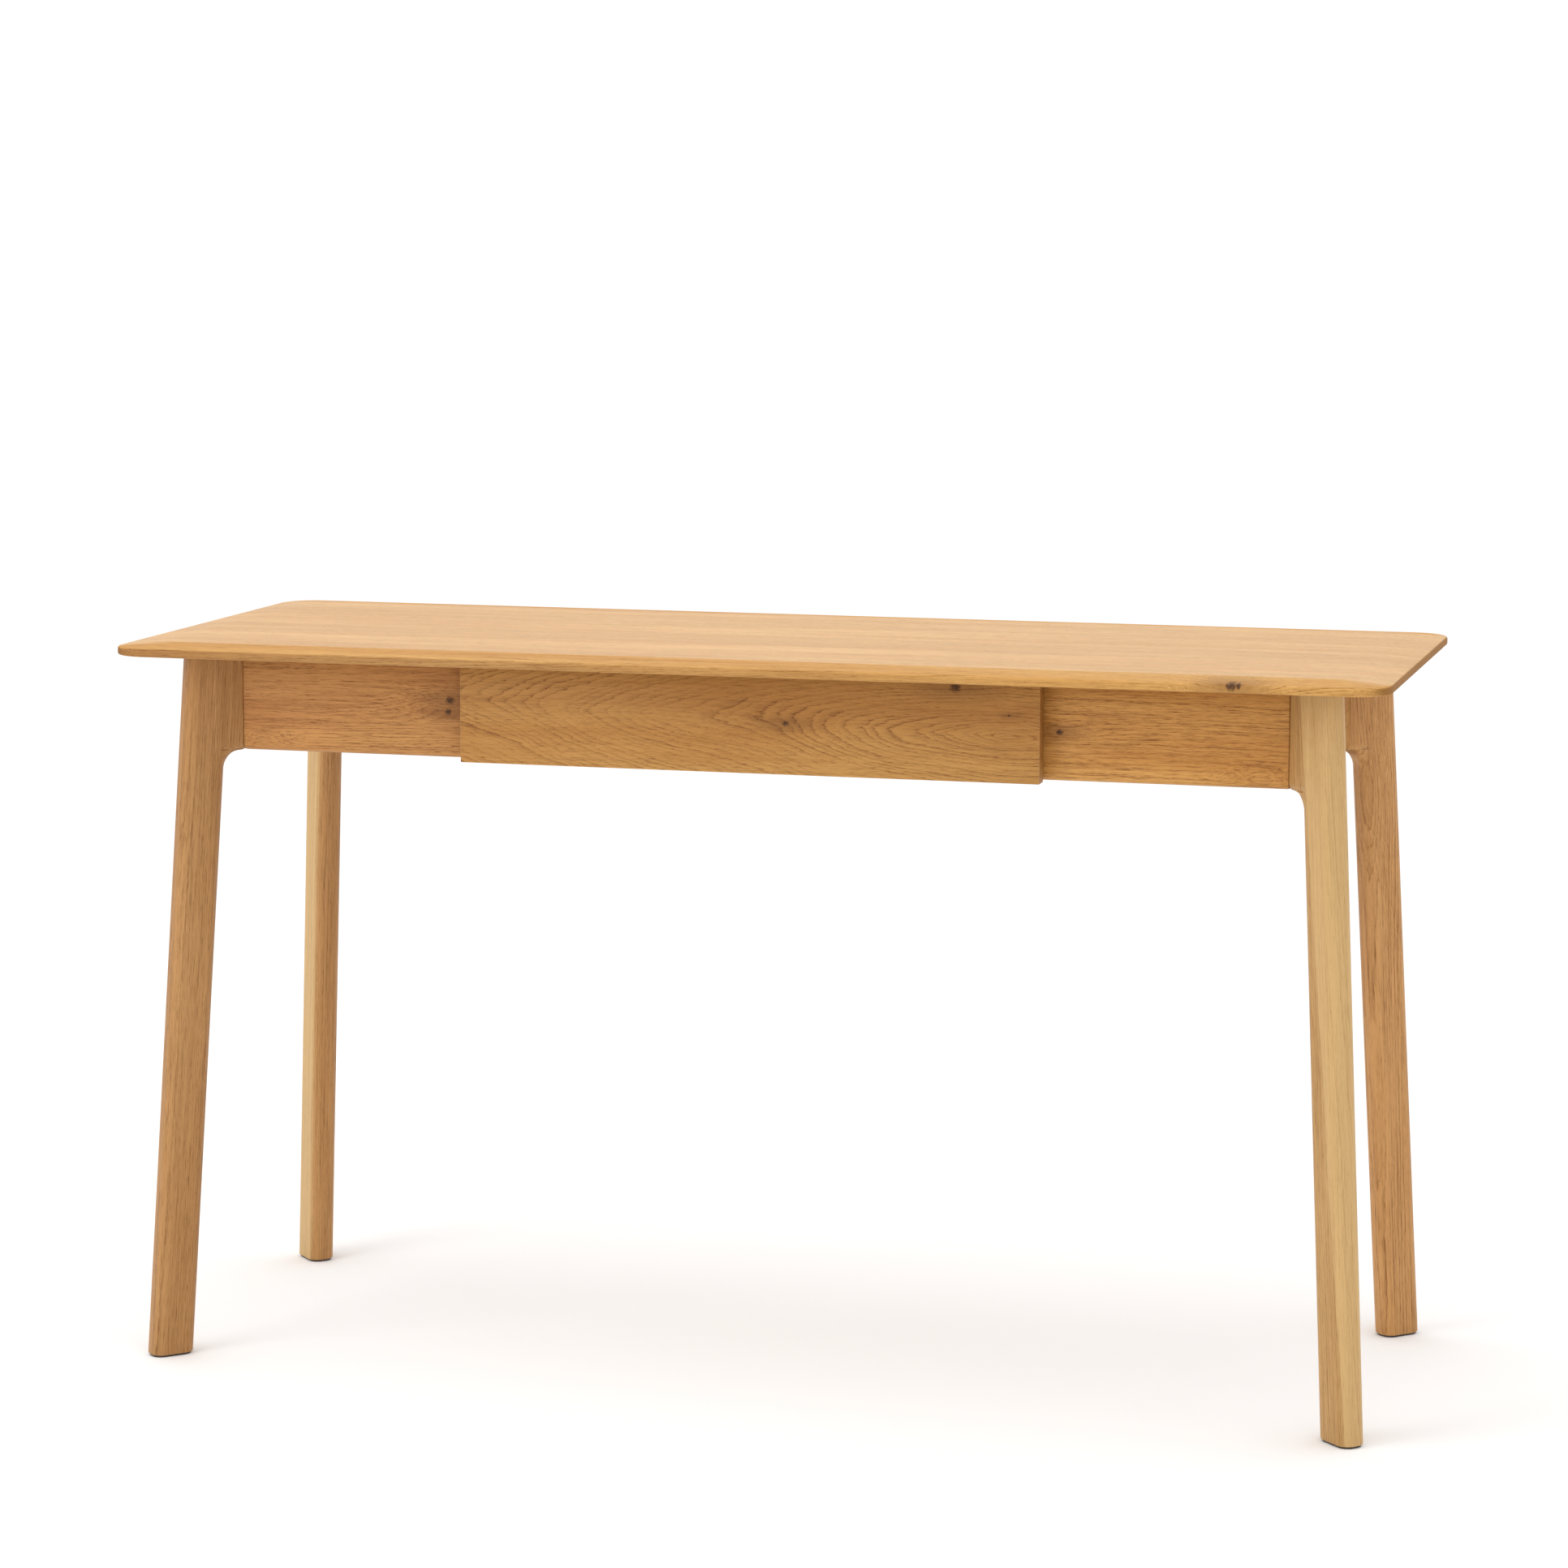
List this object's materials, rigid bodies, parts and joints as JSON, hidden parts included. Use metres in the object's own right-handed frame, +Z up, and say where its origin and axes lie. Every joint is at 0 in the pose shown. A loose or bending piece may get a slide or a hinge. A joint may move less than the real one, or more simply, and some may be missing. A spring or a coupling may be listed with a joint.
{
  "type": "writing desk with drawer",
  "caption": "Slim solid oak writing desk with splayed rounded legs and a wide central drawer in the apron, opened by a finger gap underneath.",
  "frame": {"origin": "on the floor, under the middle of the desk", "axes": "+X to the user's right along the desk, +Y from the drawer side to the back, +Z up"},
  "size_m": [1.3, 0.515, 0.75],
  "materials": {
    "oak_top": "satin oiled oak, grain along the desk",
    "oak_legs": "satin oiled oak, grain along the leg",
    "oak_aprons": "satin oiled oak, grain along the board",
    "oak_rails": "sanded oak, unfinished inside the frame",
    "oak_drawer_box": "sanded pale oak with a thin matt lacquer",
    "plywood": "oak-faced plywood, matt lacquer",
    "beech": "smooth beech dowel, unfinished",
    "bracket_steel": "zinc-plated pressed steel",
    "zinc_fasteners": "bright zinc plate",
    "slide_steel": "bright zinc plate with a trace of grease",
    "ball_cages": "pressed steel strip with polished balls",
    "felt": "pressed dark felt"
  },
  "bodies": {
    "desk": {"top_board_1": "oak_top", "top_board_2": "oak_top", "top_board_3": "oak_top", "top_board_4": "oak_top", "top_board_5": "oak_top", "top_board_6": "oak_top", "leg_front_left": "oak_legs", "leg_front_right": "oak_legs", "leg_back_left": "oak_legs", "leg_back_right": "oak_legs", "foot_pads": "felt", "apron_front_left": "oak_aprons", "apron_front_right": "oak_aprons", "apron_back": "oak_aprons", "apron_left": "oak_aprons", "apron_right": "oak_aprons", "drawer_rail_upper": "oak_rails", "drawer_rail_lower": "oak_rails", "runner_left": "oak_rails", "runner_right": "oak_rails", "dowels": "beech", "corner_brackets": "bracket_steel", "hanger_bolts": "zinc_fasteners", "hanger_washers": "zinc_fasteners", "hanger_nuts": "zinc_fasteners", "bracket_screws": "zinc_fasteners", "top_buttons": "oak_rails", "button_screws": "zinc_fasteners", "rail_screws": "zinc_fasteners", "slide_outer_left": "slide_steel", "slide_outer_right": "slide_steel", "slide_outer_screws": "zinc_fasteners"},
    "drawer": {"slide_inner_left": "slide_steel", "slide_inner_right": "slide_steel", "slide_inner_screws": "zinc_fasteners", "drawer_front": "oak_aprons", "drawer_box_front": "oak_drawer_box", "drawer_side_left": "oak_drawer_box", "drawer_side_right": "oak_drawer_box", "drawer_back": "oak_drawer_box", "drawer_bottom": "plywood", "drawer_front_screws": "zinc_fasteners", "drawer_bottom_screws": "zinc_fasteners"},
    "middle_slide_left": {"slide_middle_left": "slide_steel"},
    "outer_cage_left": {"ball_cage_outer_left": "ball_cages"},
    "inner_cage_left": {"ball_cage_inner_left": "ball_cages"},
    "middle_slide_right": {"slide_middle_right": "slide_steel"},
    "outer_cage_right": {"ball_cage_outer_right": "ball_cages"},
    "inner_cage_right": {"ball_cage_inner_right": "ball_cages"}
  },
  "joints": [
    {"name": "drawer_slide", "type": "slide", "parent": "desk", "child": "drawer", "axis": [0, -1, 0], "range_m": [0, 0.25]},
    {"name": "middle_slide_left_travel", "type": "slide", "parent": "desk", "child": "middle_slide_left", "axis": [0, -1, 0], "range_m": [0, 0.125]},
    {"name": "outer_cage_left_travel", "type": "slide", "parent": "desk", "child": "outer_cage_left", "axis": [0, -1, 0], "range_m": [0, 0.0625]},
    {"name": "inner_cage_left_travel", "type": "slide", "parent": "desk", "child": "inner_cage_left", "axis": [0, -1, 0], "range_m": [0, 0.1875]},
    {"name": "middle_slide_right_travel", "type": "slide", "parent": "desk", "child": "middle_slide_right", "axis": [0, -1, 0], "range_m": [0, 0.125]},
    {"name": "outer_cage_right_travel", "type": "slide", "parent": "desk", "child": "outer_cage_right", "axis": [0, -1, 0], "range_m": [0, 0.0625]},
    {"name": "inner_cage_right_travel", "type": "slide", "parent": "desk", "child": "inner_cage_right", "axis": [0, -1, 0], "range_m": [0, 0.1875]}
  ],
  "couplings": [
    {"joint": "middle_slide_left_travel", "follows": "drawer_slide", "ratio": 0.5},
    {"joint": "outer_cage_left_travel", "follows": "drawer_slide", "ratio": 0.25},
    {"joint": "inner_cage_left_travel", "follows": "drawer_slide", "ratio": 0.75},
    {"joint": "middle_slide_right_travel", "follows": "drawer_slide", "ratio": 0.5},
    {"joint": "outer_cage_right_travel", "follows": "drawer_slide", "ratio": 0.25},
    {"joint": "inner_cage_right_travel", "follows": "drawer_slide", "ratio": 0.75}
  ]
}
